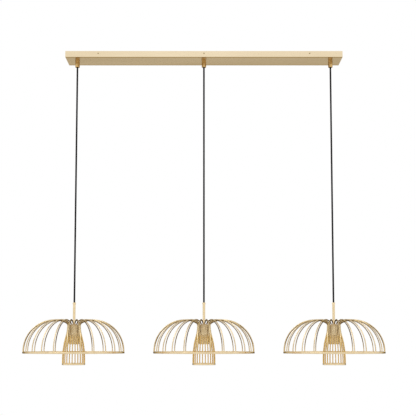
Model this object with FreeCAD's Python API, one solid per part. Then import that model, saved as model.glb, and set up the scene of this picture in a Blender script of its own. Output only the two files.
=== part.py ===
import FreeCAD, Part
import math
import os

# Driving dimensions, in millimetres and degrees.
# The ceiling is the plane z = 0, X runs along the canopy and the lamp hangs down -Z.

# Canopy: a folded brass tray held up against the ceiling
pendant_spacing = 514.0
canopy_end_margin = 42.0
canopy_depth = 120.0
canopy_height = 25.0
canopy_wall = 1.2
canopy_fold_radius = 0.9

# Bracket: a steel channel on the ceiling that the canopy closes over
bracket_end_gap = 10.0
bracket_side_gap = 0.5
bracket_wall = 1.5
bracket_flange_gap = 10.0
ceiling_slot_width = 5.5
ceiling_slot_length = 20.0
box_slot_spacing = 88.9
end_slot_inset = 156.0
supply_hole_radius = 10.0
supply_hole_x = -80.0

# Cover screws: three along the front and three along the back
cover_screw_inset = 132.0
cover_screw_drop = 9.5
cover_screw_radius = 1.5
cover_screw_clearance = 0.2
cover_screw_head_radius = 2.8
cover_screw_head_height = 1.6
cover_screw_reach = 2.0
driver_slot_width = 0.8
driver_slot_depth = 0.8

# Terminal block and earth screw on the bracket
block_x = 150.0
block_length = 40.0
block_depth = 30.0
block_floor_gap = 6.3
block_lead_offset = 10.0
block_entry_depth = 8.0
block_screw_radius = 2.0
block_screw_depth = 5.0
block_screw_pitch = 9.0
earth_screw_x = -140.0
earth_screw_y = -15.0
earth_screw_radius = 2.0
earth_head_radius = 4.0
earth_head_height = 3.0

# Cord, and the bell grips that clamp it under the canopy
cord_diameter = 7.0
cord_length = 956.5
cord_clearance = 0.2
cord_end_gap = 0.2
lead_bend_radius = 8.5
nipple_cord_gap = 0.3
nipple_wall = 1.2
nipple_in_grip = 8.0
nipple_above_nut = 1.0
nipple_hole_clearance = 0.2
nut_wall = 2.0
grip_nut_height = 3.0
grip_wall = 4.0
grip_height = 26.0
grip_rounding = 2.0
mouth_depth = 3.5
mouth_widening = 1.3
pivot_height = 2.5
grip_screw_radius = 2.0
grip_screw_height = 10.0
grip_screw_inset = 0.4

# Stem between the cord and the shade
stem_lead_gap = 0.5
stem_wall = 1.0
stem_drop = 88.0
stem_foot_flange = 3.0
stem_foot_height = 2.5
stem_nut_height = 4.0
stem_tail = 2.0
ferrule_wall = 1.2
ferrule_height = 7.0
ferrule_seat = 4.0
ferrule_lip = 0.4
lower_lead_tail = 4.0

# Lamp holder for a screw-cap lamp, from the screw shell outwards
socket_bore_radius = 13.3
socket_wall = 0.6
socket_length = 28.0
contact_radius = 4.0
contact_height = 4.0
contact_rounding = 2.0
contact_gap = 0.5
insert_wall = 2.6
insert_disc = 10.0
insert_lip = 6.0
insert_gap = 2.0
holder_wall = 1.5
holder_lip = 10.0
cap_height = 11.5
cap_overlap = 6.0
cap_rounding = 3.5

# Collar round the holder, which the wires are brazed to
holder_gap = 1.8
collar_wall = 1.2
collar_disc = 1.5
collar_hem = 4.4

# Wire shade: evenly spaced wires from the rim hoop over the crown to the mouth hoop
wire_count = 24
wire_diameter = 4.0
rim_radius = 200.0
rim_straight = 2.0
dome_height = 124.5
shoulder_turn = 33.0
crown_radius = 76.0
crown_rise = 19.0
neck_drop = 22.0
neck_first_turn = 30.0
upper_flare = 41.4
flare_height = 129.8
mouth_radius = 45.5
mouth_straight = 18.2
hoop_thickness = 4.0
hoop_height = 7.0
hoop_edge = 0.5

# Canopy sizes and levels that follow from those above
canopy_length = 2 * (pendant_spacing + canopy_end_margin)
canopy_floor = canopy_wall - canopy_height
bracket_half_length = canopy_length / 2 - bracket_end_gap
bracket_half_depth = canopy_depth / 2 - canopy_wall - bracket_side_gap
bracket_flange_height = canopy_height - bracket_flange_gap
end_slot_spacing = canopy_length - 2 * end_slot_inset
cover_screw_spread = canopy_length / 2 - cover_screw_inset
block_bottom = canopy_floor + block_floor_gap

# Grip sizes and levels
cord_radius = cord_diameter / 2
cord_bore = cord_radius + cord_clearance
nipple_bore_radius = cord_radius + nipple_cord_gap
nipple_radius = nipple_bore_radius + nipple_wall
nut_top = canopy_floor + grip_nut_height
nipple_top = nut_top + nipple_above_nut
lead_level = nipple_top + lead_bend_radius
grip_radius = nipple_radius + grip_wall
grip_bottom = -canopy_height - grip_height
cord_pivot = grip_bottom + pivot_height
cord_bottom = cord_pivot - cord_length

# Stem and lamp holder
stem_bore_radius = cord_radius + stem_lead_gap
stem_radius = stem_bore_radius + stem_wall
ferrule_bottom = cord_bottom - ferrule_height
collar_top = cord_bottom - stem_drop
cap_top = collar_top - collar_disc - stem_nut_height
stem_bottom = cap_top - holder_wall - stem_tail
holder_skirt_top = cap_top - cap_height
insert_top = holder_skirt_top - cap_overlap
insert_disc_bottom = insert_top - insert_disc
contact_tip = insert_disc_bottom - contact_height
socket_bottom = insert_disc_bottom - socket_length
insert_bottom = socket_bottom - insert_lip
holder_bottom = insert_bottom - holder_lip
socket_radius = socket_bore_radius + socket_wall
insert_sleeve_radius = socket_radius + insert_wall
holder_bore_radius = insert_sleeve_radius + insert_gap
holder_radius = holder_bore_radius + holder_wall

# Collar and shade
wire_radius = wire_diameter / 2
collar_radius = holder_radius + holder_gap + collar_wall
neck_radius = collar_radius + wire_radius
rim_wire_radius = rim_radius - hoop_thickness / 2
mouth_wire_radius = mouth_radius - hoop_thickness / 2
crown_z = collar_top + crown_rise
neck_z = crown_z - neck_drop
rim_top = crown_z - dome_height
mouth_top = neck_z - flare_height - mouth_straight
flare_turn = 2 * math.degrees(math.atan((mouth_wire_radius - neck_radius) / flare_height))
upper_flare_radius = upper_flare / math.sin(math.radians(flare_turn))
lower_flare_radius = (flare_height - upper_flare) / math.sin(math.radians(flare_turn))
collar_bottom = neck_z - upper_flare + collar_hem

PENDANTS = {"left": -pendant_spacing, "centre": 0.0, "right": pendant_spacing}
COVER_SCREW_XS = (-cover_screw_spread, 0.0, cover_screw_spread)
UP = FreeCAD.Vector(0, 0, 1)
FRONT = -90.0
LEVEL_TOLERANCE = 0.001

# The middle shade hangs turned by half a step against the outer two
WIRE_PHASES = {"left": 0.0, "centre": 0.5, "right": 0.0}


def vec(x, y, z):
    return FreeCAD.Vector(x, y, z)


def moved(shape, x, y=0.0, z=0.0):
    copy = shape.copy()
    copy.translate(vec(x, y, z))
    return copy


def box(x_range, y_range, z_range):
    size = [high - low for low, high in (x_range, y_range, z_range)]
    return Part.makeBox(*size, vec(x_range[0], y_range[0], z_range[0]))


def rod(radius, bottom, top, x=0.0, y=0.0):
    return Part.makeCylinder(radius, top - bottom, vec(x, y, bottom), UP)


def rod_along_y(radius, x, z, y_from, y_to):
    direction = vec(0, math.copysign(1, y_to - y_from), 0)
    return Part.makeCylinder(radius, abs(y_to - y_from), vec(x, y_from, z), direction)


def tube(outer, inner, bottom, top, x=0.0, y=0.0):
    return rod(outer, bottom, top, x, y).cut(rod(inner, bottom, top, x, y))


def turned(edges):
    """A solid of revolution about Z from a closed outline in the r-z plane."""
    face = Part.Face(Part.Wire(edges))
    return face.revolve(vec(0, 0, 0), UP, 360)


def line(start, end):
    return Part.LineSegment(vec(start[0], 0, start[1]), vec(end[0], 0, end[1])).toShape()


def outline(points):
    """Straight edges through points of the r-z plane, closed at the end."""
    return [line(a, b) for a, b in zip(points, points[1:] + points[:1])]


def slot(length, width, x, bottom, top):
    """A round-ended slot along X, centred on x."""
    reach = length / 2 - width / 2
    middle = box((x - reach, x + reach), (-width / 2, width / 2), (bottom, top))
    ends = [rod(width / 2, bottom, top, x + side * reach) for side in (-1, 1)]
    return middle.fuse(ends)


def hex_nut(bore, bottom, top):
    corner = 2 * (bore + nut_wall) / math.sqrt(3)
    angles = [math.radians(60 * i) for i in range(7)]
    points = [vec(corner * math.cos(a), corner * math.sin(a), bottom) for a in angles]
    prism = Part.Face(Part.makePolygon(points)).extrude(vec(0, 0, top - bottom))
    return prism.cut(rod(bore, bottom, top))


def edges_at(shape, level):
    return [edge for edge in shape.Edges if abs(edge.CenterOfMass.z - level) < LEVEL_TOLERANCE]


def two_arc_quarter(along, across, first_turn):
    """Radii of two tangent arcs that make a quarter turn over the given travel."""
    s = math.sin(math.radians(first_turn))
    c = math.cos(math.radians(first_turn))
    spread = s * c - (1 - s) * (1 - c)
    first = (along * c - across * (1 - s)) / spread
    second = (across * s - along * (1 - c)) / spread
    return first, second


class Bend:
    """A path in the r-z plane that grows by tangent lines and arcs."""

    def __init__(self, r, z, heading):
        self.r = r
        self.z = z
        self.heading = heading
        self.edges = []

    def ahead(self, distance):
        angle = math.radians(self.heading)
        end = (self.r + distance * math.cos(angle), self.z + distance * math.sin(angle))
        self.edges.append(line((self.r, self.z), end))
        self.r, self.z = end

    def turn(self, radius, degrees):
        """Turn left for positive degrees and right for negative ones."""
        side = math.copysign(1, degrees)
        normal = math.radians(self.heading + 90 * side)
        centre_r = self.r + radius * math.cos(normal)
        centre_z = self.z + radius * math.sin(normal)

        def at(share):
            angle = normal + math.pi + math.radians(degrees) * share
            return vec(centre_r + radius * math.cos(angle), 0, centre_z + radius * math.sin(angle))

        start, middle, end = at(0), at(0.5), at(1)
        self.edges.append(Part.Arc(start, middle, end).toShape())
        self.r, self.z = end.x, end.z
        self.heading += degrees


def swept(edges, radius, start, direction):
    """A round rod of the given radius along a path of tangent edges."""
    section = Part.Wire([Part.Circle(start, direction, radius).toShape()])
    return Part.Wire(edges).makePipeShell([section], True, False)


# Canopy, bracket and what is fixed to them

def make_canopy_cover():
    half_length, half_depth = canopy_length / 2, canopy_depth / 2
    shell = box((-half_length, half_length), (-half_depth, half_depth), (-canopy_height, 0))
    folds = []
    for edge in shell.Edges:
        middle = edge.CenterOfMass
        upright = abs(edge.Vertexes[0].Z - edge.Vertexes[1].Z) > canopy_height / 2
        if upright or middle.z < -canopy_height / 2:
            folds.append(edge)
    shell = shell.makeFillet(canopy_fold_radius, folds)
    inner_length, inner_depth = half_length - canopy_wall, half_depth - canopy_wall
    hollow = box((-inner_length, inner_length), (-inner_depth, inner_depth), (canopy_floor, 0))
    shell = shell.cut(hollow)
    hole = nipple_radius + nipple_hole_clearance
    for x in PENDANTS.values():
        shell = shell.cut(rod(hole, -canopy_height, canopy_floor, x))
    for x in COVER_SCREW_XS:
        radius = cover_screw_radius + cover_screw_clearance
        shell = shell.cut(rod_along_y(radius, x, -cover_screw_drop, -half_depth, half_depth))
    return shell


def make_ceiling_bracket():
    half_length, half_depth = bracket_half_length, bracket_half_depth
    inner = half_depth - bracket_wall
    channel = box((-half_length, half_length), (-half_depth, half_depth), (-bracket_flange_height, 0))
    hollow = box((-half_length, half_length), (-inner, inner), (-bracket_flange_height, -bracket_wall))
    channel = channel.cut(hollow)
    for spacing in (box_slot_spacing, end_slot_spacing):
        for x in (-spacing / 2, spacing / 2):
            cut = slot(ceiling_slot_length, ceiling_slot_width, x, -bracket_wall, 0)
            channel = channel.cut(cut)
    channel = channel.cut(rod(supply_hole_radius, -bracket_wall, 0, supply_hole_x))
    channel = channel.cut(rod(earth_screw_radius, -bracket_wall, 0, earth_screw_x, earth_screw_y))
    for x in COVER_SCREW_XS:
        bore = rod_along_y(cover_screw_radius, x, -cover_screw_drop, -half_depth, half_depth)
        channel = channel.cut(bore)
    return channel


def make_cover_screws():
    face = canopy_depth / 2
    tip = bracket_half_depth - bracket_wall - cover_screw_reach
    screws = []
    for x in COVER_SCREW_XS:
        for side in (-1, 1):
            shank = rod_along_y(cover_screw_radius, x, -cover_screw_drop, side * face, side * tip)
            crest = side * (face + cover_screw_head_height)
            head = rod_along_y(cover_screw_head_radius, x, -cover_screw_drop, side * face, crest)
            notch_y = sorted((crest, crest - side * driver_slot_depth))
            half = driver_slot_width / 2
            reach = cover_screw_head_radius
            level = -cover_screw_drop
            notch = box((x - reach, x + reach), notch_y, (level - half, level + half))
            screws.append(head.fuse(shank).removeSplitter().cut(notch))
    return Part.makeCompound(screws)


def block_screw_ys():
    return [block_screw_pitch * i for i in (-1, 0, 1)]


def make_terminal_block():
    half_length, half_depth = block_length / 2, block_depth / 2
    left, right = block_x - half_length, block_x + half_length
    body = box((left, right), (-half_depth, half_depth), (block_bottom, -bracket_wall))
    entries = [(left, 0.0, 1), (left, block_lead_offset, 1), (right, 0.0, -1)]
    for x, y, side in entries:
        start = vec(x, y, lead_level)
        body = body.cut(Part.makeCylinder(cord_radius, block_entry_depth, start, vec(side, 0, 0)))
    for y in block_screw_ys():
        body = body.cut(rod(block_screw_radius, block_bottom, block_bottom + block_screw_depth, block_x, y))
    return body


def make_terminal_screws():
    half = driver_slot_width / 2
    reach = block_screw_radius
    screws = []
    for y in block_screw_ys():
        screw = rod(block_screw_radius, block_bottom, block_bottom + block_screw_depth, block_x, y)
        notch = box((block_x - reach, block_x + reach), (y - half, y + half),
                    (block_bottom, block_bottom + driver_slot_depth))
        screws.append(screw.cut(notch))
    return Part.makeCompound(screws)


def make_earth_screw():
    under = -bracket_wall
    head = rod(earth_head_radius, under - earth_head_height, under, earth_screw_x, earth_screw_y)
    shank = rod(earth_screw_radius, under, 0, earth_screw_x, earth_screw_y)
    return head.fuse(shank).removeSplitter()


# Cord grips: each a turned bell on a hollow threaded nipple with a nut inside the canopy

def make_cord_grip():
    socket_top = -canopy_height
    socket_floor = socket_top - nipple_in_grip
    mouth = cord_bore + mouth_widening
    bell = rod(grip_radius, grip_bottom, socket_top)
    bell = bell.makeFillet(grip_rounding, edges_at(bell, grip_bottom))
    bell = bell.cut(rod(nipple_radius, socket_floor, socket_top))
    bell = bell.cut(rod(cord_bore, grip_bottom, socket_top))
    flare = Part.makeCone(mouth, cord_bore, mouth_depth, vec(0, 0, grip_bottom), UP)
    bell = bell.cut(flare)
    level = grip_bottom + grip_screw_height
    return bell.cut(rod_along_y(grip_screw_radius, 0, level, 0, grip_radius))


def make_grip_screw():
    level = grip_bottom + grip_screw_height
    outer_end = grip_radius - grip_screw_inset
    screw = rod_along_y(grip_screw_radius, 0, level, cord_radius, outer_end)
    half = driver_slot_width / 2
    reach = grip_screw_radius
    notch = box((-reach, reach), (outer_end - driver_slot_depth, outer_end),
                (level - half, level + half))
    return screw.cut(notch)


def make_grip_nipple():
    return tube(nipple_radius, nipple_bore_radius, -canopy_height - nipple_in_grip, nipple_top)


def make_grip_nut():
    return hex_nut(nipple_radius, canopy_floor, nut_top)


def at_each_grip(piece):
    return Part.makeCompound([moved(piece, x) for x in PENDANTS.values()])


def make_inner_lead(x, block_face, lead_y):
    """The cord inside the grip and the canopy, up to the terminal block."""
    foot = vec(x, 0, cord_pivot + cord_radius + cord_end_gap)
    bend_start = vec(x, 0, nipple_top)
    across = vec(block_face - x, lead_y, 0)
    across.normalize()
    bend_centre = bend_start + across * lead_bend_radius
    diagonal = (UP - across).normalize()
    bend_middle = bend_centre + diagonal * lead_bend_radius
    bend_end = bend_centre + UP * lead_bend_radius
    inside = math.copysign(block_entry_depth / 2, across.x)
    run = (block_face + inside - bend_end.x) / across.x
    path = [
        Part.LineSegment(foot, bend_start).toShape(),
        Part.Arc(bend_start, bend_middle, bend_end).toShape(),
        Part.LineSegment(bend_end, bend_end + across * run).toShape(),
    ]
    return swept(path, cord_radius, foot, UP)


def make_inner_leads():
    left_face, right_face = block_x - block_length / 2, block_x + block_length / 2
    return {
        "left": make_inner_lead(PENDANTS["left"], left_face, block_lead_offset),
        "centre": make_inner_lead(PENDANTS["centre"], left_face, 0.0),
        "right": make_inner_lead(PENDANTS["right"], right_face, 0.0),
    }


# One pendant, made on the axis and repeated along the canopy

def make_cord():
    """Straight from the grip to the ferrule, with a round end at the point it swings about."""
    round_end = Part.makeSphere(cord_radius, vec(0, 0, cord_pivot))
    return rod(cord_radius, cord_bottom, cord_pivot).fuse(round_end).removeSplitter()


def make_stem_ferrule():
    radius = stem_radius + ferrule_wall
    body = rod(radius, ferrule_bottom, cord_bottom)
    body = body.makeFillet(radius - cord_radius - ferrule_lip, edges_at(body, cord_bottom))
    body = body.cut(rod(cord_radius, ferrule_bottom, cord_bottom))
    return body.cut(rod(stem_radius, ferrule_bottom, ferrule_bottom + ferrule_seat))


def make_stem_tube():
    body = tube(stem_radius, stem_bore_radius, stem_bottom, ferrule_bottom + ferrule_seat)
    foot_radius = stem_radius + stem_foot_flange
    foot = tube(foot_radius, stem_radius, collar_top, collar_top + stem_foot_height)
    return body.fuse(foot).removeSplitter()


def make_lower_lead():
    return rod(cord_radius, stem_bottom - lower_lead_tail, cord_bottom)


def make_stem_nut():
    return hex_nut(stem_radius, cap_top, collar_top - collar_disc)


def wire_path():
    path = Bend(rim_wire_radius, rim_top, 90)
    path.ahead(rim_straight)
    dome_first, dome_second = two_arc_quarter(
        dome_height - rim_straight, rim_wire_radius - crown_radius, shoulder_turn)
    path.turn(dome_first, shoulder_turn)
    path.turn(dome_second, 90 - shoulder_turn)
    neck_first, neck_second = two_arc_quarter(
        crown_radius - neck_radius, neck_drop, neck_first_turn)
    path.turn(neck_first, neck_first_turn)
    path.turn(neck_second, 90 - neck_first_turn)
    path.turn(upper_flare_radius, flare_turn)
    path.turn(lower_flare_radius, -flare_turn)
    path.ahead(mouth_straight)
    return path.edges


def make_shade_wires(phase):
    """One wire stands in front, or is turned on from there by a share of the step between wires."""
    wire = swept(wire_path(), wire_radius, vec(rim_wire_radius, 0, rim_top), UP)
    step = 360 / wire_count
    wires = []
    for i in range(wire_count):
        copy = wire.copy()
        copy.rotate(vec(0, 0, 0), UP, FRONT + step * (i + phase))
        wires.append(copy)
    return Part.makeCompound(wires)


def make_hoop(outer, top):
    inner, bottom = outer - hoop_thickness, top - hoop_height
    edge = hoop_edge
    return turned(outline([
        (inner + edge, top), (outer - edge, top), (outer, top - edge), (outer, bottom + edge),
        (outer - edge, bottom), (inner + edge, bottom), (inner, bottom + edge), (inner, top - edge),
    ]))


def flare_point(offset, z):
    """A point of the wire's flare, moved towards the axis by offset."""
    centre_r = neck_radius + upper_flare_radius
    reach = upper_flare_radius + offset
    return centre_r - math.sqrt(reach ** 2 - (neck_z - z) ** 2), z


def flare_arc(offset, top, bottom):
    points = [flare_point(offset, z) for z in (top, (top + bottom) / 2, bottom)]
    return Part.Arc(*[vec(r, 0, z) for r, z in points]).toShape()


def make_neck_collar():
    """A cup with a disc on top, whose side follows the wires that are brazed to it."""
    outside = flare_arc(wire_radius, neck_z, collar_bottom)
    inside = flare_arc(wire_radius + collar_wall, collar_bottom, neck_z)
    outer_top = flare_point(wire_radius, neck_z)
    outer_foot = flare_point(wire_radius, collar_bottom)
    inner_top = flare_point(wire_radius + collar_wall, neck_z)
    inner_foot = flare_point(wire_radius + collar_wall, collar_bottom)
    under_disc = collar_top - collar_disc
    return turned([
        line((stem_radius, collar_top), (outer_top[0], collar_top)),
        line((outer_top[0], collar_top), outer_top),
        outside,
        line(outer_foot, inner_foot),
        inside,
        line(inner_top, (inner_top[0], under_disc)),
        line((inner_top[0], under_disc), (stem_radius, under_disc)),
        line((stem_radius, under_disc), (stem_radius, collar_top)),
    ])


def make_holder_cap():
    outer = holder_bore_radius
    corner = outer - cap_rounding
    inner = outer - holder_wall
    under = cap_top - holder_wall
    bend = math.sqrt(0.5)
    middle = vec(corner + cap_rounding * bend, 0, cap_top - cap_rounding * (1 - bend))
    round_corner = Part.Arc(vec(corner, 0, cap_top), middle,
                            vec(outer, 0, cap_top - cap_rounding)).toShape()
    return turned([
        line((stem_radius, cap_top), (corner, cap_top)),
        round_corner,
        line((outer, cap_top - cap_rounding), (outer, insert_top)),
        line((outer, insert_top), (inner, insert_top)),
        line((inner, insert_top), (inner, under)),
        line((inner, under), (stem_radius, under)),
        line((stem_radius, under), (stem_radius, cap_top)),
    ])


def make_holder_skirt():
    return tube(holder_radius, holder_bore_radius, holder_bottom, holder_skirt_top)


def make_holder_insert():
    """A ceramic cup: a disc that fills the skirt and a sleeve round the screw shell."""
    disc = rod(holder_bore_radius, insert_disc_bottom, insert_top)
    sleeve = tube(insert_sleeve_radius, socket_radius, insert_bottom, insert_disc_bottom)
    return disc.fuse(sleeve).removeSplitter()


def make_socket_shell():
    return tube(socket_radius, socket_bore_radius, socket_bottom, contact_tip - contact_gap)


def make_socket_contact():
    contact = rod(contact_radius, contact_tip, insert_disc_bottom)
    return contact.makeFillet(contact_rounding, edges_at(contact, contact_tip))


def make_pendant(wire_phase):
    return {
        "cord": make_cord(),
        "stem_ferrule": make_stem_ferrule(),
        "stem_tube": make_stem_tube(),
        "lower_lead": make_lower_lead(),
        "stem_nut": make_stem_nut(),
        "shade_wires": make_shade_wires(wire_phase),
        "rim_hoop": make_hoop(rim_radius, rim_top),
        "mouth_hoop": make_hoop(mouth_radius, mouth_top),
        "neck_collar": make_neck_collar(),
        "holder_cap": make_holder_cap(),
        "holder_skirt": make_holder_skirt(),
        "holder_insert": make_holder_insert(),
        "socket_shell": make_socket_shell(),
        "socket_contact": make_socket_contact(),
        "cord_grip": make_cord_grip(),
    }


def make_all():
    nodes = {
        "canopy_cover": make_canopy_cover(),
        "ceiling_bracket": make_ceiling_bracket(),
        "cover_screws": make_cover_screws(),
        "terminal_block": make_terminal_block(),
        "terminal_screws": make_terminal_screws(),
        "earth_screw": make_earth_screw(),
        "grip_nipples": at_each_grip(make_grip_nipple()),
        "grip_nuts": at_each_grip(make_grip_nut()),
        "grip_screws": at_each_grip(make_grip_screw()),
    }
    for side, lead in make_inner_leads().items():
        nodes[side + "_inner_lead"] = lead
    for side, x in PENDANTS.items():
        for piece, shape in make_pendant(WIRE_PHASES[side]).items():
            nodes[side + "_" + piece] = moved(shape, x)
    return nodes


os.makedirs("parts", exist_ok=True)
for node, shape in make_all().items():
    shape.exportStep("parts/" + node + ".step")
    print(node, len(shape.Solids), "solids", round(shape.Volume), "mm3", shape.isValid())

bend_radii = [round(edge.Curve.Radius, 1) for edge in wire_path() if hasattr(edge.Curve, "Radius")]
print("wire bend radii", bend_radii)
free_cord = make_cord()
section = math.pi * cord_radius ** 2
ideal = section * (cord_pivot - cord_bottom) + 2 / 3 * math.pi * cord_radius ** 3
print("cord volume over its section times its length", round(free_cord.Volume / ideal, 5))
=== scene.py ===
import bmesh
import bpy
import math
from mathutils import Matrix, Vector


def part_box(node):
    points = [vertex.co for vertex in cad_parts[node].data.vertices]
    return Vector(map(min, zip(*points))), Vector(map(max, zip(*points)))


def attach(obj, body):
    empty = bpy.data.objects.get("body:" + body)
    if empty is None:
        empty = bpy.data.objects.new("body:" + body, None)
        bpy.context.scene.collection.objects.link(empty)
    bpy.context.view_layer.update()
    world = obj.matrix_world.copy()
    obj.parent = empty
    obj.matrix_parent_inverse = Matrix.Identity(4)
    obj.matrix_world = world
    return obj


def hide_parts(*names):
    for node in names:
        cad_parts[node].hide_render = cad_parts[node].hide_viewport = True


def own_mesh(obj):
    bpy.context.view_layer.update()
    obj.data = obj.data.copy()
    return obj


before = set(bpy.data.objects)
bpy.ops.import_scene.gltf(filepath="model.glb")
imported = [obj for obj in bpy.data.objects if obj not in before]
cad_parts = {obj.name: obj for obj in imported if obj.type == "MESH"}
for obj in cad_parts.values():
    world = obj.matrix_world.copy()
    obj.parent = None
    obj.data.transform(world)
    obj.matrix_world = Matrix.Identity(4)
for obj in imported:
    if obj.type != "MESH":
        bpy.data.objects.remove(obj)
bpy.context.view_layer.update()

SIDES = ("left", "centre", "right")
pendant_x = {side: sum(corner[0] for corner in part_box(side + "_cord")) / 2 for side in SIDES}


# The ceiling bracket is a long channel of sheet steel, zinc plated, that is screwed to the
# ceiling through its slots. Its plating is a cool grey with faint clouds and fine mill lines.
zinc_dark = (0.50, 0.51, 0.53, 1)
zinc_light = (0.61, 0.63, 0.64, 1)
mill_line_height = 0.00004


def finish(name, metallic=0.0):
    """A new material and its shader."""
    made = bpy.data.materials.new(name)
    made.use_nodes = True
    shader = made.node_tree.nodes["Principled BSDF"]
    shader.inputs["Metallic"].default_value = metallic
    return made, shader


def noise(made, scale, stretch=(1, 1, 1), detail=3.0):
    """Noise on the piece's own coordinates, drawn out along an axis where stretch is small."""
    nodes, links = made.node_tree.nodes, made.node_tree.links
    place = nodes.new("ShaderNodeTexCoord")
    drawn = nodes.new("ShaderNodeMapping")
    drawn.inputs["Scale"].default_value = stretch
    grain = nodes.new("ShaderNodeTexNoise")
    grain.inputs["Scale"].default_value = scale
    grain.inputs["Detail"].default_value = detail
    links.new(place.outputs["Object"], drawn.inputs["Vector"])
    links.new(drawn.outputs["Vector"], grain.inputs["Vector"])
    return grain.outputs["Fac"]


def spread(made, value, low, high, start=0.3, end=0.7):
    """The value from start to end, taken to a number from low to high."""
    node = made.node_tree.nodes.new("ShaderNodeMapRange")
    node.inputs["From Min"].default_value = start
    node.inputs["From Max"].default_value = end
    node.inputs["To Min"].default_value = low
    node.inputs["To Max"].default_value = high
    made.node_tree.links.new(value, node.inputs["Value"])
    return node.outputs["Result"]


def blend_colours(made, value, dark, light, start=0.3, end=0.7):
    """A colour between dark and light, as the value goes from start to end."""
    node = made.node_tree.nodes.new("ShaderNodeMix")
    node.data_type = "RGBA"
    node.inputs["A"].default_value = dark
    node.inputs["B"].default_value = light
    made.node_tree.links.new(spread(made, value, 0, 1, start, end), node.inputs["Factor"])
    return node.outputs["Result"]


def relief(made, shader, value, height):
    """Raises the surface by up to height, in metres, where the value is high."""
    node = made.node_tree.nodes.new("ShaderNodeBump")
    node.inputs["Strength"].default_value = 1.0
    node.inputs["Distance"].default_value = height
    made.node_tree.links.new(value, node.inputs["Height"])
    made.node_tree.links.new(node.outputs["Normal"], shader.inputs["Normal"])


def wire_up(made, shader, **values):
    """Joins each value to the shader's socket of that name."""
    for socket, value in values.items():
        made.node_tree.links.new(value, shader.inputs[socket.replace("_", " ")])


def dress(coat, *nodes):
    """Gives CAD nodes their finish."""
    for node in nodes:
        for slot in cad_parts[node].material_slots:
            slot.material = coat


def make_zinc():
    made, shader = finish("zinc_plating", metallic=1.0)
    clouds = noise(made, scale=40)
    lines = noise(made, scale=900, stretch=(0.02, 1, 1))
    wire_up(made, shader, Base_Color=blend_colours(made, clouds, zinc_dark, zinc_light),
            Roughness=spread(made, clouds, low=0.5, high=0.34))
    relief(made, shader, lines, mill_line_height)
    return made


zinc = make_zinc()
dress(zinc, "ceiling_bracket", "grip_nipples", "grip_nuts", "grip_screws")


# The terminal block joins the three lamps' leads to the supply inside the canopy. It is moulded
# in white resin with three steel clamp screws, and a brass earth screw stands beside it.
resin_dark = (0.74, 0.72, 0.66, 1)
resin_light = (0.84, 0.83, 0.78, 1)
brass_dark = (0.50, 0.38, 0.19, 1)
brass_light = (0.70, 0.55, 0.30, 1)
resin_grain_height = 0.00005


def make_resin():
    made, shader = finish("moulded_resin")
    mottle = noise(made, scale=600)
    wire_up(made, shader, Base_Color=blend_colours(made, mottle, resin_dark, resin_light),
            Roughness=spread(made, mottle, low=0.42, high=0.55))
    relief(made, shader, mottle, resin_grain_height)
    return made


def make_plain_brass():
    made, shader = finish("plain_brass", metallic=1.0)
    wear = noise(made, scale=300)
    wire_up(made, shader, Base_Color=blend_colours(made, wear, brass_dark, brass_light),
            Roughness=spread(made, wear, low=0.3, high=0.45))
    return made


plain_brass = make_plain_brass()
dress(make_resin(), "terminal_block")
dress(zinc, "terminal_screws")
dress(plain_brass, "earth_screw")


# The canopy cover is a tray folded from sheet brass, with its corners closed and ground smooth.
# It is brushed along its length and lacquered, so its grain runs as fine pale and dark lines.
satin_dark = (0.775, 0.635, 0.42, 1)
satin_light = (0.85, 0.715, 0.50, 1)
satin_edge = (0.80, 0.68, 0.50, 1)
# Painted shade: a darker tone along the lower folds of the front and back.
fold_shade_tone = (0.58, 0.41, 0.18, 1)
fold_shade_band = 0.012
end_face_from = 0.0006
end_face_to = 0.0002
underside_from = 0.0012
underside_to = 0.0004
grain_scale = 1800
grain_stretch = 0.006
grain_height = 0.00001
fold_radius = 0.0008
tray_wall = 0.0012


def soften(bm, width, sharpest=0.6, segments=3):
    """Rounds every edge that turns by more than sharpest, in radians."""
    edges = [e for e in bm.edges if len(e.link_faces) == 2 and e.calc_face_angle() > sharpest]
    bmesh.ops.bevel(bm, geom=edges, offset=width, segments=segments, profile=0.5, affect="EDGES",
                    material=-1, clamp_overlap=True)


def place(bm, name, coat, body, slot, *nodes, even_normals=True):
    """Makes the shape a piece that rides on its body and stands for CAD nodes."""
    mesh = bpy.data.meshes.new(name)
    bm.to_mesh(mesh)
    bm.free()
    mesh.materials.append(coat)
    mesh.shade_smooth()
    mesh.set_sharp_from_angle(angle=math.radians(40))
    piece = bpy.data.objects.new(name, mesh)
    bpy.context.scene.collection.objects.link(piece)
    if even_normals:
        piece.modifiers.new("even_normals", "WEIGHTED_NORMAL").keep_sharp = True
    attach(piece, body)
    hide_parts(*nodes)
    return piece


def part_of_place(made, axis):
    """One number of the place on the piece: its X, Y or Z."""
    nodes, links = made.node_tree.nodes, made.node_tree.links
    where = nodes.new("ShaderNodeTexCoord")
    parts = nodes.new("ShaderNodeSeparateXYZ")
    links.new(where.outputs["Object"], parts.inputs["Vector"])
    return parts.outputs[axis]


def sums(made, operation, first, second):
    """A Math node between two sockets or numbers."""
    node = made.node_tree.nodes.new("ShaderNodeMath")
    node.operation = operation
    for socket, value in zip(node.inputs, (first, second)):
        if isinstance(value, (int, float)):
            socket.default_value = value
        else:
            made.node_tree.links.new(value, socket)
    return node.outputs["Value"]


def mix_colours(made, amount, first, second):
    """The first colour turns into the second as the amount goes from 0 to 1."""
    node = made.node_tree.nodes.new("ShaderNodeMix")
    node.data_type = "RGBA"
    for socket, value in (("A", first), ("B", second)):
        if isinstance(value, tuple):
            node.inputs[socket].default_value = value
        else:
            made.node_tree.links.new(value, node.inputs[socket])
    made.node_tree.links.new(amount, node.inputs["Factor"])
    return node.outputs["Result"]


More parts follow.
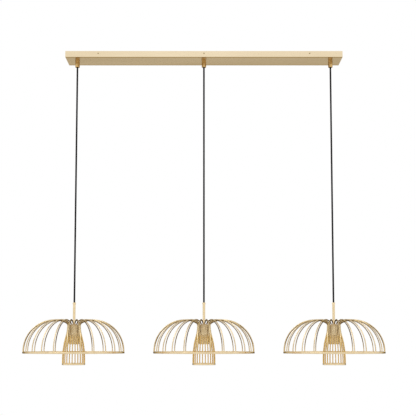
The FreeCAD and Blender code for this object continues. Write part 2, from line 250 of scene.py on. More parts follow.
def make_brushed_brass():
    """The ends are brushed across, and a darker tone is painted along the lower folds as shade."""
    made, shader = finish("brushed_brass", metallic=1.0)
    along = noise(made, grain_scale, stretch=(grain_stretch, 1, 1), detail=2.0)
    across = noise(made, grain_scale, stretch=(1, grain_stretch, 1), detail=2.0)
    patches = noise(made, scale=7, stretch=(0.25, 1, 1))
    shader.inputs["Anisotropic"].default_value = 0.5
    shader.inputs["Specular Tint"].default_value = satin_edge
    low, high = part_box("canopy_cover")
    from_centre = sums(made, "ABSOLUTE", part_of_place(made, "X"), 0.0)
    at_end = spread(made, from_centre, 0, 1, high[0] - end_face_from, high[0] - end_face_to)
    streaks = sums(made, "ADD", sums(made, "MULTIPLY", across, at_end),
                   sums(made, "MULTIPLY", along, sums(made, "SUBTRACT", 1.0, at_end)))
    from_middle = sums(made, "ABSOLUTE", part_of_place(made, "Y"), 0.0)
    # Painted shade along the lower folds, where the front and back meet the underside.
    near_side = spread(made, from_middle, 0, 1, high[1] - fold_shade_band, high[1] - fold_shade_band / 2)
    near_bottom = spread(made, part_of_place(made, "Z"), 1, 0, low[2] + underside_to,
                         low[2] + underside_from)
    fold_shade = sums(made, "MULTIPLY", near_side, near_bottom)
    tone = sums(made, "MULTIPLY", sums(made, "ADD", streaks, patches), 0.5)
    brushed = blend_colours(made, tone, satin_dark, satin_light, 0.4, 0.6)
    wire_up(made, shader, Base_Color=mix_colours(made, fold_shade, brushed, fold_shade_tone),
            Roughness=spread(made, patches, low=0.2, high=0.3))
    relief(made, shader, streaks, grain_height)
    return made


def make_tray():
    low, high = (Vector(corner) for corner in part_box("canopy_cover"))
    bm = bmesh.new()
    bmesh.ops.create_cube(bm, size=1.0)
    bmesh.ops.scale(bm, verts=bm.verts, vec=high - low)
    bmesh.ops.translate(bm, verts=bm.verts, vec=(low + high) / 2)
    bm.faces.ensure_lookup_table()
    top = max(bm.faces, key=lambda face: face.calc_center_median().z)
    bmesh.ops.delete(bm, geom=[top], context="FACES_ONLY")
    soften(bm, fold_radius)
    bmesh.ops.recalc_face_normals(bm, faces=bm.faces)
    bmesh.ops.solidify(bm, geom=bm.faces[:], thickness=tray_wall)
    bmesh.ops.recalc_face_normals(bm, faces=bm.faces)
    return bm


brushed_brass = make_brushed_brass()
place(make_tray(), "canopy_tray", brushed_brass, "canopy", "satin_brass", "canopy_cover")


# Six small brass screws with domed, slotted heads hold the cover, three in front and three behind.
# They are turned, not brushed, and a little darker than the sheet.
screw_brass_dark = (0.36, 0.27, 0.14, 1)
screw_brass_light = (0.52, 0.41, 0.24, 1)
cover_screw_x = 0.424
head_radius = 0.0028
head_height = 0.0016
head_rim = 0.0007
head_dome_steps = 6
shank_radius = 0.0015
tip_past_bracket = 0.0035
slot_length = 0.01
slot_width = 0.0008
slot_depth = 0.0008


def turned(outline, x, segments=48):
    """Turns a closed outline of (radius, height) points about the upright line through x."""
    bm = bmesh.new()
    ring = [bm.verts.new((r, 0, z)) for r, z in outline]
    edges = [bm.edges.new(pair) for pair in zip(ring, ring[1:] + ring[:1])]
    bmesh.ops.spin(bm, geom=ring + edges, cent=(0, 0, 0), axis=(0, 0, 1), dvec=(0, 0, 0),
                   angle=2 * math.pi, steps=segments, use_merge=True, use_duplicate=False)
    bmesh.ops.remove_doubles(bm, verts=bm.verts, dist=1e-6)
    loose = [edge for edge in bm.edges if not edge.link_faces]
    bmesh.ops.delete(bm, geom=loose, context="EDGES")
    bmesh.ops.recalc_face_normals(bm, faces=bm.faces)
    bmesh.ops.translate(bm, verts=bm.verts, vec=(x, 0, 0))
    return bm


def carve(bm, cutter):
    """Takes the cutter's solid away from the shape's."""
    pair = []
    for shape in (bm, cutter):
        mesh = bpy.data.meshes.new("carving")
        shape.to_mesh(mesh)
        shape.free()
        pair.append(bpy.data.objects.new("carving", mesh))
        bpy.context.scene.collection.objects.link(pair[-1])
    work, tool = pair
    cut = work.modifiers.new("cut", "BOOLEAN")
    cut.operation = "DIFFERENCE"
    cut.solver = "EXACT"
    cut.object = tool
    ready = work.evaluated_get(bpy.context.evaluated_depsgraph_get())
    carved = bmesh.new()
    carved.from_mesh(ready.to_mesh())
    for used in pair:
        mesh = used.data
        bpy.data.objects.remove(used)
        bpy.data.meshes.remove(mesh)
    return carved


def block(size, middle):
    bm = bmesh.new()
    bmesh.ops.create_cube(bm, size=1.0)
    bmesh.ops.scale(bm, verts=bm.verts, vec=size)
    bmesh.ops.translate(bm, verts=bm.verts, vec=middle)
    return bm


def make_turned_brass():
    made, shader = finish("turned_screw_brass", metallic=1.0)
    wear = noise(made, scale=500)
    wire_up(made, shader, Base_Color=blend_colours(made, wear, screw_brass_dark, screw_brass_light),
            Roughness=spread(made, wear, low=0.25, high=0.4))
    return made


def make_cover_screws():
    """One screw is turned and slotted, laid down at the front, then copied to its five places."""
    low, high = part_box("cover_screws")
    shank = (high[1] - low[1]) / 2 - head_height
    level = (low[2] + high[2]) / 2
    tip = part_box("ceiling_bracket")[1][1] - tip_past_bracket
    turns = [math.radians(90 * i / head_dome_steps) for i in range(head_dome_steps + 1)]
    dome = [(head_radius * math.cos(a), head_rim + (head_height - head_rim) * math.sin(a))
            for a in turns]
    outline = [(0, tip - shank), (shank_radius, tip - shank), (shank_radius, 0), (head_radius, 0)]
    one = turned(outline + dome, 0, segments=24)
    one = carve(one, block((slot_width, slot_length, 2 * slot_depth), (0, 0, head_height)))
    bmesh.ops.rotate(one, verts=one.verts, cent=(0, 0, 0), matrix=Matrix.Rotation(math.pi / 2, 3, "Z"))
    bmesh.ops.rotate(one, verts=one.verts, cent=(0, 0, 0), matrix=Matrix.Rotation(math.pi / 2, 3, "X"))
    bmesh.ops.translate(one, verts=one.verts, vec=(0, -shank, level))
    front = one.verts[:] + one.edges[:] + one.faces[:]
    back = bmesh.ops.duplicate(one, geom=front)["geom"]
    back = [part for part in back if isinstance(part, bmesh.types.BMVert)]
    bmesh.ops.rotate(one, verts=back, cent=(0, 0, level), matrix=Matrix.Rotation(math.pi, 3, "Z"))
    pair = one.verts[:] + one.edges[:] + one.faces[:]
    for x in (-cover_screw_x, cover_screw_x):
        more = bmesh.ops.duplicate(one, geom=pair)["geom"]
        more = [part for part in more if isinstance(part, bmesh.types.BMVert)]
        bmesh.ops.translate(one, verts=more, vec=(x, 0, 0))
    return one


place(make_cover_screws(), "cover_screw_heads", make_turned_brass(), "canopy", "satin_brass",
      "cover_screws")


# A cord grip is a solid bell turned from brass rod, polished and lacquered a deeper gold. It
# screws up on the nipple that comes through the canopy, and a grub screw behind holds the cord.
gold_dark = (0.56, 0.36, 0.13, 1)
gold_light = (0.78, 0.54, 0.25, 1)
# A near-black edge tint paints shade on the sides of the bell where they turn away.
gold_edge_shade = (0.05, 0.03, 0.01, 1)
bell_rounding = 0.002
bell_mouth = 0.0050
bell_bore = 0.0037
bell_mouth_depth = 0.0035
bell_lip = 0.0006
bell_steps = 8
grub_hole_radius = 0.002
grub_hole_height = 0.010
lathe_ring_height = 0.00003


def quarter(centre_r, centre_z, radius, start, steps):
    """Points of a quarter circle, counter-clockwise from start in degrees."""
    turn = [math.radians(start + 90 * i / steps) for i in range(steps + 1)]
    return [(centre_r + radius * math.cos(a), centre_z + radius * math.sin(a)) for a in turn]


def make_turned_gold():
    made, shader = finish("turned_gold", metallic=1.0)
    shader.inputs["Specular Tint"].default_value = gold_edge_shade
    rings = noise(made, scale=700, stretch=(0.05, 0.05, 1))
    wear = noise(made, scale=120)
    wire_up(made, shader, Base_Color=blend_colours(made, wear, gold_dark, gold_light),
            Roughness=spread(made, wear, low=0.17, high=0.27))
    relief(made, shader, rings, lathe_ring_height)
    return made


def make_bell(side):
    low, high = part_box(side + "_cord_grip")
    radius = (high[0] - low[0]) / 2
    bottom, top = low[2], high[2]
    outline = [(bell_bore, top), (radius, top)]
    outline += [(radius, top - bell_lip), (radius - bell_lip / 2, top - 2 * bell_lip)]
    corner = quarter(radius - bell_rounding, bottom + bell_rounding, bell_rounding, -90, bell_steps)
    outline += reversed(corner)
    outline += [(bell_mouth, bottom), (bell_bore, bottom + bell_mouth_depth)]
    bm = turned(outline, 0)
    drill = bmesh.new()
    bmesh.ops.create_cone(drill, cap_ends=True, segments=24, radius1=grub_hole_radius,
                          radius2=grub_hole_radius, depth=radius,
                          matrix=Matrix.Rotation(math.pi / 2, 4, "X"))
    bmesh.ops.translate(drill, verts=drill.verts, vec=(0, radius, bottom + grub_hole_height))
    bm = carve(bm, drill)
    bmesh.ops.translate(bm, verts=bm.verts, vec=(pendant_x[side], 0, 0))
    return bm


turned_gold = make_turned_gold()
for side in SIDES:
    place(make_bell(side), side + "_bell", turned_gold, "canopy", "bright_brass", side + "_cord_grip")


# Each pendant hangs on a round flex in a black textile braid. The flex is pulled straight by the
# shade, from the mouth of its grip to the ferrule on the stem.
yarn_dark = (0.004, 0.004, 0.004, 1)
yarn_light = (0.022, 0.02, 0.02, 1)
braid_turns = 8.0
braid_pitch = 0.0035
braid_height = 0.0002
cord_sides = 24
exit_above_mouth = 0.0025
end_run = 0.036
foot_gap = 0.0001


def make_textile():
    """Two sets of yarns that cross: diagonal waves on the cord's own length and turn."""
    made, shader = finish("black_braid")
    nodes, links = made.node_tree.nodes, made.node_tree.links
    lay = nodes.new("ShaderNodeTexCoord")
    crossed = []
    for lean in (1, -1):
        slant = nodes.new("ShaderNodeVectorMath")
        slant.operation = "DOT_PRODUCT"
        slant.inputs[1].default_value = (lean * braid_turns, 1 / braid_pitch, 0)
        links.new(lay.outputs["UV"], slant.inputs[0])
        wave = nodes.new("ShaderNodeMath")
        wave.operation = "PINGPONG"
        wave.inputs[1].default_value = 0.5
        links.new(slant.outputs["Value"], wave.inputs[0])
        crossed.append(wave.outputs["Value"])
    over = nodes.new("ShaderNodeMath")
    over.operation = "MAXIMUM"
    links.new(crossed[0], over.inputs[0])
    links.new(crossed[1], over.inputs[1])
    yarns = over.outputs["Value"]
    wire_up(made, shader, Base_Color=blend_colours(made, yarns, yarn_dark, yarn_light, 0.1, 0.5))
    shader.inputs["Roughness"].default_value = 0.85
    shader.inputs["Specular IOR Level"].default_value = 0.15
    relief(made, shader, yarns, braid_height)
    return made


def cord_route(side):
    """Points down the straight route of one cord, from its grip to a hair above the stem's lead."""
    x = pendant_x[side]
    exit_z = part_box(side + "_cord_grip")[0][2] + exit_above_mouth
    foot_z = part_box(side + "_cord")[0][2] + foot_gap
    heights = (exit_z, exit_z - end_run, foot_z + end_run, foot_z)
    curve = bpy.data.curves.new(side + "_cord_route", "CURVE")
    curve.dimensions = "3D"
    spline = curve.splines.new("NURBS")
    spline.points.add(len(heights) - 1)
    for point, z in zip(spline.points, heights):
        point.co = (x, 0, z, 1)
    spline.order_u = 3
    spline.use_endpoint_u = True
    route = bpy.data.objects.new(side + "_cord_route", curve)
    line = bpy.data.meshes.new_from_object(route)
    points = [tuple(v.co) for v in line.vertices]
    bpy.data.objects.remove(route)
    bpy.data.meshes.remove(line)
    return points


def make_cord(side, points, radius):
    """A round tube along the route, with its turn and its length in metres as its UV map."""
    bm = bmesh.new()
    start = Matrix.Translation(points[0])
    bmesh.ops.create_circle(bm, segments=cord_sides, radius=radius, cap_ends=False, matrix=start)
    ring = bm.edges[:]
    for here, there in zip(points, points[1:]):
        grown = bmesh.ops.extrude_edge_only(bm, edges=ring)["geom"]
        corners = [part for part in grown if isinstance(part, bmesh.types.BMVert)]
        ring = [part for part in grown if isinstance(part, bmesh.types.BMEdge)]
        bmesh.ops.translate(bm, verts=corners, vec=Vector(there) - Vector(here))
    bmesh.ops.holes_fill(bm, edges=bm.edges, sides=0)
    bmesh.ops.recalc_face_normals(bm, faces=bm.faces)
    uv = bm.loops.layers.uv.new("turn_and_length")
    for face in bm.faces:
        middle = face.calc_center_median() - Vector((pendant_x[side], 0, 0))
        centre_turn = math.atan2(middle.y, middle.x)
        for loop in face.loops:
            corner = loop.vert.co - Vector((pendant_x[side], 0, 0))
            turn = math.atan2(corner.y, corner.x)
            turn += 2 * math.pi * round((centre_turn - turn) / (2 * math.pi))
            loop[uv].uv = (turn / (2 * math.pi), corner.z)
    return bm


textile = make_textile()
for side in SIDES:
    low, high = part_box(side + "_cord")
    radius = (high[0] - low[0]) / 2
    points = cord_route(side)
    cord = place(make_cord(side, points, radius), side + "_flex", textile, side + "_cord_body",
                 "black_textile", side + "_cord", even_normals=False)
    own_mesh(cord)
    dress(textile, side + "_inner_lead", side + "_lower_lead")


# A stem is a drawn brass tube with a turned ferrule on top, where the flex goes in, and a round
# foot that stands on the collar. A nut under the collar holds it.
drawn_dark = (0.78, 0.61, 0.36, 1)
drawn_light = (0.90, 0.74, 0.48, 1)
# A dark edge tint paints shade where the tubes, collars and holders turn away.
drawn_edge_shade = (0.45, 0.33, 0.18, 1)
stem_radius = 0.005
stem_bore = 0.004
stem_foot_height = 0.0025
stem_rounding = 0.0004
ferrule_bore = 0.0036
ferrule_rounding = 0.0023
draw_line_height = 0.00002


def make_drawn_brass(name, edge):
    """The edge colour paints shade where the metal turns away."""
    made, shader = finish(name, metallic=1.0)
    lines = noise(made, scale=900, stretch=(1, 1, 0.03))
    wear = noise(made, scale=60)
    shader.inputs["Specular Tint"].default_value = edge
    wire_up(made, shader, Base_Color=blend_colours(made, wear, drawn_dark, drawn_light),
            Roughness=spread(made, wear, low=0.22, high=0.32))
    relief(made, shader, lines, draw_line_height)
    return made


def make_ferrule(side):
    low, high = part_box(side + "_stem_ferrule")
    radius = (high[0] - low[0]) / 2
    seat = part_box(side + "_stem_tube")[1][2]
    corner = quarter(radius - ferrule_rounding, high[2] - ferrule_rounding, ferrule_rounding, 0,
                     bell_steps)
    outline = [(stem_radius, low[2]), (radius, low[2])] + corner
    outline += [(ferrule_bore, high[2]), (ferrule_bore, seat), (stem_radius, seat)]
    return turned(outline, pendant_x[side], segments=32)


def make_stem(side):
    low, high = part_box(side + "_stem_tube")
    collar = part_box(side + "_neck_collar")[1][2]
    foot = (high[0] - low[0]) / 2
    foot_top = collar + stem_foot_height
    outline = [(stem_bore, low[2]), (stem_radius, low[2]), (stem_radius, collar), (foot, collar),
               (foot, foot_top), (stem_radius, foot_top), (stem_radius, high[2]),
               (stem_bore, high[2])]
    bm = turned(outline, pendant_x[side], segments=32)
    soften(bm, stem_rounding)
    return bm


drawn_brass = make_drawn_brass("drawn_brass", drawn_edge_shade)
for side in SIDES:
    body = side + "_pendant"
    place(make_ferrule(side), side + "_ferrule", drawn_brass, body, "satin_brass",
          side + "_stem_ferrule")
    place(make_stem(side), side + "_stem", drawn_brass, body, "satin_brass", side + "_stem_tube")
    dress(zinc, side + "_stem_nut")


# The shade is 24 round brass wires, each from the rim hoop over the crown, down into the neck and
# out to the mouth hoop, brazed at both. Their inner faces are painted brown as shade, but for their
# feet, and below the collar they are painted a deeper gold as a reflection.
wire_dark = (0.68, 0.51, 0.27, 1)
wire_light = (0.85, 0.69, 0.43, 1)
# A near-black edge tint paints shade where the wires turn away.
wire_edge_shade = (0.08, 0.05, 0.02, 1)
# Painted shade: the brown of the dome's inner faces.
wire_inside_shade = (0.20, 0.115, 0.035, 1)
inward_shade_from = -0.5
inward_shade_to = 0.0
unshaded_foot_from = 0.012
unshaded_foot_to = 0.050
# Painted reflection: the deeper gold of the neck.
neck_reflection_gold = (0.77, 0.53, 0.19, 1)
neck_gold_from = 0.075
neck_gold_to = 0.050
neck_gold_top = 0.034
neck_gold_full = 0.050
wire_count = 24
wire_radius = 0.002
wire_sides = 12
hoop_thickness = 0.004
rim_straight = 0.002
crown_radius = 0.076
neck_radius = 0.025
neck_drop = 0.022
shoulder_turn = 33
neck_first_turn = 30
upper_flare = 0.0414
flare_height = 0.1298
braze_height = 0.0015
braze_spread = 1.6
degrees_a_step = 5


def facing_out(made, *from_middle):
    """How far the surface faces away from a middle: 1 straight outwards, -1 straight inwards."""
    nodes, links = made.node_tree.nodes, made.node_tree.links
    away = nodes.new("ShaderNodeCombineXYZ")
    for socket, value in zip(away.inputs, from_middle):
        links.new(value, socket)
    unit = nodes.new("ShaderNodeVectorMath")
    unit.operation = "NORMALIZE"
    links.new(away.outputs["Vector"], unit.inputs[0])
    here = nodes.new("ShaderNodeTexCoord")
    match = nodes.new("ShaderNodeVectorMath")
    match.operation = "DOT_PRODUCT"
    links.new(unit.outputs["Vector"], match.inputs[0])
    links.new(here.outputs["Normal"], match.inputs[1])
    return match.outputs["Value"]


def make_wire_brass():
    """Painted brown shade on the dome's inner faces, painted gold reflection in the neck from above
    the collar's hem down.
    """
    made, shader = finish("wire_brass", metallic=1.0)
    shader.inputs["Specular Tint"].default_value = wire_edge_shade
    wear = noise(made, scale=60)
    apart = pendant_x["centre"] - pendant_x["left"]
    wrapped = made.node_tree.nodes.new("ShaderNodeMath")
    wrapped.operation = "WRAP"
    wrapped.inputs[1].default_value = apart / 2
    wrapped.inputs[2].default_value = -apart / 2
    made.node_tree.links.new(part_of_place(made, "X"), wrapped.inputs[0])
    x = wrapped.outputs["Value"]
    y = part_of_place(made, "Y")
    squares = sums(made, "ADD", sums(made, "MULTIPLY", x, x), sums(made, "MULTIPLY", y, y))
    r = sums(made, "POWER", squares, 0.5)
    # Painted gold reflection near the axis, below the collar.
    inside = spread(made, r, 1, 0, neck_gold_to, neck_gold_from)
    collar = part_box("centre_neck_collar")[1][2]
    below = spread(made, part_of_place(made, "Z"), 1, 0, collar - neck_gold_full,
                   collar - neck_gold_top)
    neck_reflection = sums(made, "MULTIPLY", inside, below)
    drawn = blend_colours(made, wear, wire_dark, wire_light)
    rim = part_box("centre_rim_hoop")[1][2]
    above_rim = sums(made, "SUBTRACT", part_of_place(made, "Z"), rim)
    # Painted brown shade on faces turned inwards, left off at the feet and where the neck is painted
    # gold.
    outside = facing_out(made, x, y, above_rim)
    unshaded_foot = spread(made, above_rim, 1, 0, unshaded_foot_from, unshaded_foot_to)
    unshaded_parts = sums(made, "MAXIMUM", neck_reflection, unshaded_foot)
    turned_outwards = spread(made, outside, 0, 1, inward_shade_from, inward_shade_to)
    shade_free = sums(made, "MAXIMUM", turned_outwards, unshaded_parts)
    dome = mix_colours(made, shade_free, wire_inside_shade, drawn)
    wire_up(made, shader, Base_Color=mix_colours(made, neck_reflection, dome, neck_reflection_gold),
            Roughness=spread(made, wear, low=0.22, high=0.32))
    return made


class Wire:
    """A wire that grows in the plane through the axis and the front, from the rim's foot."""

    def __init__(self, bm, r, z):
        self.bm = bm
        self.r = r
        self.z = z
        self.heading = 90
        start = Matrix.Translation((0, -r, z))
        bmesh.ops.create_circle(bm, segments=wire_sides, radius=wire_radius, cap_ends=True,
                                matrix=start)
        self.ring = bm.edges[:]
        self.widen(braze_spread)

    def widen(self, factor):
        """Spreads the wire's end along the hoop, where the braze runs out."""
        corners = list({corner for edge in self.ring for corner in edge.verts})
        bmesh.ops.scale(self.bm, verts=corners, vec=(factor, 1, 1))

    def ahead(self, distance):
        angle = math.radians(self.heading)
        step = Vector((0, -distance * math.cos(angle), distance * math.sin(angle)))
        grown = bmesh.ops.extrude_edge_only(self.bm, edges=self.ring)["geom"]
        corners = [part for part in grown if isinstance(part, bmesh.types.BMVert)]
        self.ring = [part for part in grown if isinstance(part, bmesh.types.BMEdge)]
        bmesh.ops.translate(self.bm, verts=corners, vec=step)
        self.r -= step.y
        self.z += step.z
        return corners

    def turn(self, radius, degrees):
        """Turn left for positive degrees and right for negative ones."""
        side = math.copysign(1, degrees)
        normal = math.radians(self.heading + 90 * side)
        centre_r = self.r + radius * math.cos(normal)
        centre_z = self.z + radius * math.sin(normal)
        corners = list({corner for edge in self.ring for corner in edge.verts})
        steps = max(2, round(abs(degrees) / degrees_a_step))
        last = bmesh.ops.spin(self.bm, geom=corners + self.ring, cent=(0, -centre_r, centre_z),
                              axis=(1, 0, 0), dvec=(0, 0, 0), angle=-math.radians(degrees),
                              steps=steps, use_merge=False, use_duplicate=False)["geom_last"]
        self.ring = [part for part in last if isinstance(part, bmesh.types.BMEdge)]
        end = normal + math.pi + math.radians(degrees)
        self.r = centre_r + radius * math.cos(end)
        self.z = centre_z + radius * math.sin(end)
        self.heading += degrees


def two_arc_quarter(along, across, first_turn):
    """Radii of two tangent arcs that make a quarter turn over the given travel."""
    s = math.sin(math.radians(first_turn))
    c = math.cos(math.radians(first_turn))
    shared = s * c - (1 - s) * (1 - c)
    return (along * c - across * (1 - s)) / shared, (across * s - along * (1 - c)) / shared


def make_wires(side):
    rim_low, rim_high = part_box(side + "_rim_hoop")
    mouth_low, mouth_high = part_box(side + "_mouth_hoop")
    crown_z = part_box(side + "_shade_wires")[1][2] - wire_radius
    rim_r = (rim_high[0] - rim_low[0] - hoop_thickness) / 2
    mouth_r = (mouth_high[0] - mouth_low[0] - hoop_thickness) / 2
    bm = bmesh.new()
    wire = Wire(bm, rim_r, rim_high[2])
    wire.ahead(braze_height)
    wire.widen(1 / braze_spread)
    wire.ahead(rim_straight - braze_height)
    first, second = two_arc_quarter(crown_z - wire.z, rim_r - crown_radius, shoulder_turn)
    wire.turn(first, shoulder_turn)
    wire.turn(second, 90 - shoulder_turn)
    first, second = two_arc_quarter(crown_radius - neck_radius, neck_drop, neck_first_turn)
    wire.turn(first, neck_first_turn)
    wire.turn(second, 90 - neck_first_turn)
    flare = 2 * math.degrees(math.atan((mouth_r - neck_radius) / flare_height))
    wire.turn(upper_flare / math.sin(math.radians(flare)), flare)
    wire.turn((flare_height - upper_flare) / math.sin(math.radians(flare)), -flare)
    wire.ahead(wire.z - mouth_high[2] - braze_height)
    wire.ahead(braze_height)
    wire.widen(braze_spread)
    bmesh.ops.holes_fill(bm, edges=wire.ring, sides=0)
    bmesh.ops.recalc_face_normals(bm, faces=bm.faces)
    step = 2 * math.pi / wire_count
    bmesh.ops.spin(bm, geom=bm.verts[:] + bm.edges[:] + bm.faces[:], cent=(0, 0, 0),
                   axis=(0, 0, 1), dvec=(0, 0, 0), angle=step * (wire_count - 1),
                   steps=wire_count - 1, use_merge=False, use_duplicate=True)
    turn = Matrix.Rotation(step / 2 if side == "centre" else 0, 3, "Z")
    bmesh.ops.rotate(bm, verts=bm.verts, cent=(0, 0, 0), matrix=turn)
    bmesh.ops.translate(bm, verts=bm.verts, vec=(pendant_x[side], 0, 0))
    return bm


wire_brass = make_wire_brass()
for side in SIDES:
    place(make_wires(side), side + "_wires", wire_brass, side + "_pendant", "satin_brass",
          side + "_shade_wires")


# The rim hoop and the mouth hoop are flat brass bands, rolled, closed by brazing and polished
# with the wires. A near-black edge tint paints shade where they turn away at the sides.
hoop_rounding = 0.0008
hoop_edge_shade = (0.05, 0.03, 0.01, 1)


def make_hoop(node, x):
    low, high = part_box(node)
    outer = (high[0] - low[0]) / 2
    inner = outer - hoop_thickness
    outline = [(inner, low[2]), (outer, low[2]), (outer, high[2]), (inner, high[2])]
    bm = turned(outline, x, segments=144)
    soften(bm, hoop_rounding)
    return bm


hoop_brass = make_drawn_brass("hoop_brass", hoop_edge_shade)
for side in SIDES:
    for hoop in ("rim", "mouth"):
        node = f"{side}_{hoop}_hoop"
        place(make_hoop(node, pendant_x[side]), f"{side}_{hoop}_band", hoop_brass,
              side + "_pendant", "satin_brass", node)


# The collar is a spun brass cup inside the neck, closed on top, that the wires are brazed to.
# Its side follows the wires' flare.
collar_wall = 0.0012
collar_disc = 0.0015
collar_rounding = 0.0003
collar_steps = 6


def make_collar(side):
    low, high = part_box(side + "_neck_collar")
    crown_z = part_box(side + "_shade_wires")[1][2] - wire_radius
    mouth_low, mouth_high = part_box(side + "_mouth_hoop")
    mouth_r = (mouth_high[0] - mouth_low[0] - hoop_thickness) / 2
    flare = 2 * math.atan((mouth_r - neck_radius) / flare_height)
    flare_radius = upper_flare / math.sin(flare)
    neck_z = crown_z - neck_drop
    heights = [neck_z + (low[2] - neck_z) * i / collar_steps for i in range(collar_steps + 1)]

    def side_r(offset, z):
        reach = flare_radius + offset
        return neck_radius + flare_radius - math.sqrt(reach ** 2 - (neck_z - z) ** 2)

    outside = [(side_r(wire_radius, z), z) for z in heights]
    inside = [(side_r(wire_radius + collar_wall, z), z) for z in reversed(heights)]
    under = high[2] - collar_disc
    outline = [(stem_radius, high[2]), (outside[0][0], high[2])] + outside + inside
    outline += [(inside[-1][0], under), (stem_radius, under)]
    bm = turned(outline, pendant_x[side])
    soften(bm, collar_rounding)
    return bm


for side in SIDES:
    place(make_collar(side), side + "_collar", drawn_brass, side + "_pendant", "satin_brass",
          side + "_neck_collar")


# The lamp holder is a brass cap and skirt, screwed together, round a glazed porcelain insert. A
# lamp screws into its thin threaded shell, against the contact at the top.
porcelain_dark = (0.74, 0.72, 0.66, 1)
porcelain_light = (0.86, 0.85, 0.81, 1)
holder_wall = 0.0015
cap_rounding = 0.0035
holder_rounding = 0.0003
insert_disc_height = 0.010
insert_sleeve = 0.0165
insert_rounding = 0.0008
thread_pitch = 0.00362
thread_depth = 0.0005
shell_wall = 0.0002
thread_steps = 8
thread_segments = 48
glaze_height = 0.00005


def make_porcelain():
    made, shader = finish("glazed_porcelain")
    mottle = noise(made, scale=150)
    wire_up(made, shader, Base_Color=blend_colours(made, mottle, porcelain_dark, porcelain_light),
            Roughness=spread(made, mottle, low=0.18, high=0.3))
    shader.inputs["Coat Weight"].default_value = 0.6
    shader.inputs["Coat Roughness"].default_value = 0.08
    relief(made, shader, mottle, glaze_height)
    return made


def make_cap(side):
    low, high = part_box(side + "_holder_cap")
    outer = (high[0] - low[0]) / 2
    inner, under = outer - holder_wall, high[2] - holder_wall
    corner = quarter(outer - cap_rounding, high[2] - cap_rounding, cap_rounding, 0, bell_steps)
    outline = [(stem_radius, under), (inner, under), (inner, low[2]), (outer, low[2])]
    outline += corner + [(stem_radius, high[2])]
    return turned(outline, pendant_x[side])


def make_skirt(side):
    low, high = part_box(side + "_holder_skirt")
    outer = (high[0] - low[0]) / 2
    inner = outer - holder_wall
    outline = [(inner, low[2]), (outer, low[2]), (outer, high[2]), (inner, high[2])]
    bm = turned(outline, pendant_x[side])
    soften(bm, holder_rounding)
    return bm


def make_insert(side):
    low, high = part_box(side + "_holder_insert")
    shell_low, shell_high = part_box(side + "_socket_shell")
    disc = (high[0] - low[0]) / 2
    bore = (shell_high[0] - shell_low[0]) / 2
    disc_low = high[2] - insert_disc_height
    outline = [(0, high[2]), (disc, high[2]), (disc, disc_low), (insert_sleeve, disc_low),
               (insert_sleeve, low[2]), (bore, low[2]), (bore, disc_low), (0, disc_low)]
    bm = turned(outline, pendant_x[side])
    soften(bm, insert_rounding)
    return bm


def make_shell(side):
    """A thin sleeve with a rolled thread: a wavy line that climbs one pitch in each turn."""
    low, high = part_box(side + "_socket_shell")
    outer = (high[0] - low[0]) / 2
    middle = outer - shell_wall - thread_depth / 2
    turns = int((high[2] - low[2]) / thread_pitch) - 1
    bm = bmesh.new()
    line = []
    for i in range(turns * thread_steps + 1):
        wave = math.cos(2 * math.pi * i / thread_steps) * thread_depth / 2
        line.append(bm.verts.new((middle + wave, 0, low[2] + thread_pitch * i / thread_steps)))
    edges = [bm.edges.new(pair) for pair in zip(line, line[1:])]
    bmesh.ops.spin(bm, geom=line + edges, cent=(0, 0, 0), axis=(0, 0, 1),
                   dvec=(0, 0, thread_pitch / thread_segments), angle=2 * math.pi,
                   steps=thread_segments, use_merge=False, use_duplicate=False)
    bmesh.ops.remove_doubles(bm, verts=bm.verts, dist=1e-6)
    bmesh.ops.recalc_face_normals(bm, faces=bm.faces)
    bmesh.ops.solidify(bm, geom=bm.faces[:], thickness=shell_wall)
    bmesh.ops.recalc_face_normals(bm, faces=bm.faces)
    bmesh.ops.translate(bm, verts=bm.verts, vec=(pendant_x[side], 0, 0))
    return bm


porcelain = make_porcelain()
for side in SIDES:
    body = side + "_pendant"
    place(make_cap(side), side + "_cap", drawn_brass, body, "bright_brass", side + "_holder_cap")
    place(make_skirt(side), side + "_skirt", drawn_brass, body, "bright_brass",
          side + "_holder_skirt")
    place(make_insert(side), side + "_insert", porcelain, body, "porcelain",
          side + "_holder_insert")
    place(make_shell(side), side + "_shell", plain_brass, body, "nickel_brass",
          side + "_socket_shell")
    dress(plain_brass, side + "_socket_contact")


# The lamp is shown in a plain studio: a pale floor far below the ceiling, which fades to white a
# long way off, an even white surround, and one broad soft light from above on the left.
floor_z = -5.2
floor_radius = 36.0
fade_start = 20.0
fade_end = 32.0
floor_colour = (0.78, 0.78, 0.78, 1)
white_strength = 1.0
surround_strength = 0.72
key_place = Vector((-2.4, -2.4, 3.2))
key_aim = Vector((0, 0, -0.8))
key_size = 3.0
key_power = 75.0


def stage_piece(bm, name, coat):
    mesh = bpy.data.meshes.new(name)
    bm.to_mesh(mesh)
    bm.free()
    mesh.materials.append(coat)
    piece = bpy.data.objects.new(name, mesh)
    bpy.context.scene.collection.objects.link(piece)
    return piece


def make_floor():
    made, shader = finish("pale_floor")
    nodes, links = made.node_tree.nodes, made.node_tree.links
    shader.inputs["Base Color"].default_value = floor_colour
    shader.inputs["Roughness"].default_value = 0.95
    shader.inputs["Specular IOR Level"].default_value = 0.1
    place_node = nodes.new("ShaderNodeTexCoord")
    reach = nodes.new("ShaderNodeVectorMath")
    reach.operation = "LENGTH"
    links.new(place_node.outputs["Object"], reach.inputs[0])
    white = nodes.new("ShaderNodeEmission")
    mixed = nodes.new("ShaderNodeMixShader")
    links.new(spread(made, reach.outputs["Value"], 0, 1, fade_start, fade_end), mixed.inputs["Fac"])
    links.new(shader.outputs["BSDF"], mixed.inputs[1])
    links.new(white.outputs["Emission"], mixed.inputs[2])
    links.new(mixed.outputs["Shader"], nodes["Material Output"].inputs["Surface"])
    bm = bmesh.new()
    bmesh.ops.create_circle(bm, cap_ends=True, segments=96, radius=floor_radius)
    bmesh.ops.translate(bm, verts=bm.verts, vec=(0, 0, floor_z))
    stage_piece(bm, "floor", made)


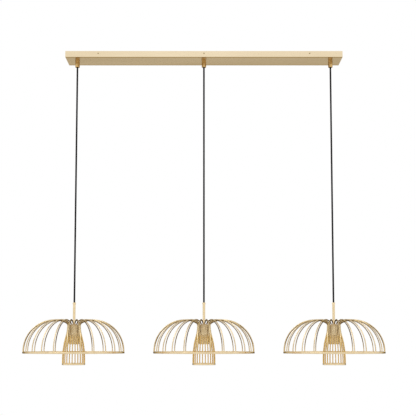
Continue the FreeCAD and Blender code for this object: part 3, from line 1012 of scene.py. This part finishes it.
def make_surround():
    """White to the camera and in reflections; its diffuse light is weaker, to leave the lamp's."""
    world = bpy.data.worlds.new("surround")
    world.use_nodes = True
    nodes, links = world.node_tree.nodes, world.node_tree.links
    path = nodes.new("ShaderNodeLightPath")
    seen = path.outputs["Is Camera Ray"]
    for kind in ("Is Glossy Ray", "Is Transmission Ray"):
        either = nodes.new("ShaderNodeMath")
        either.operation = "MAXIMUM"
        links.new(seen, either.inputs[0])
        links.new(path.outputs[kind], either.inputs[1])
        seen = either.outputs["Value"]
    strength = nodes.new("ShaderNodeMapRange")
    strength.inputs["To Min"].default_value = surround_strength
    strength.inputs["To Max"].default_value = white_strength
    links.new(seen, strength.inputs["Value"])
    links.new(strength.outputs["Result"], nodes["Background"].inputs["Strength"])
    nodes["Background"].inputs["Color"].default_value = (1, 1, 1, 1)
    bpy.context.scene.world = world


make_floor()
make_surround()
bpy.context.scene.view_settings.view_transform = "Standard"
key = bpy.data.lights.new("key", "AREA")
key.size = key_size
key.energy = key_power
key_lamp = bpy.data.objects.new("key", key)
key_lamp.location = key_place
key_lamp.rotation_mode = "QUATERNION"
key_lamp.rotation_quaternion = (key_place - key_aim).to_track_quat("Z", "Y")
bpy.context.scene.collection.objects.link(key_lamp)


# The photograph fits a level camera about 2 m away with a large lens shift, which would crop the
# pendants in other views. This camera stands further off instead, looks up a little and shifts less.
# The canopy's sizes, the cords' length, and the pendants' spacing and turn were fitted to it.
camera_distance = 3.9
camera_above_rim = 0.0429
camera_tilt = 5.83
camera_lens = 84.98
camera_sensor = 36
camera_shift = (0.0098, 0.08)
rim_low, rim_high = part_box("centre_rim_hoop")
rim_level = (rim_low[2] + rim_high[2]) / 2
camera = bpy.data.objects.new("camera", bpy.data.cameras.new("camera"))
camera.location = (0, -camera_distance, rim_level + camera_above_rim)
camera.rotation_euler = (math.radians(90 + camera_tilt), 0, 0)
camera.data.lens = camera_lens
camera.data.sensor_width = camera_sensor
camera.data.shift_x, camera.data.shift_y = camera_shift
bpy.context.scene.collection.objects.link(camera)
bpy.context.scene.camera = camera
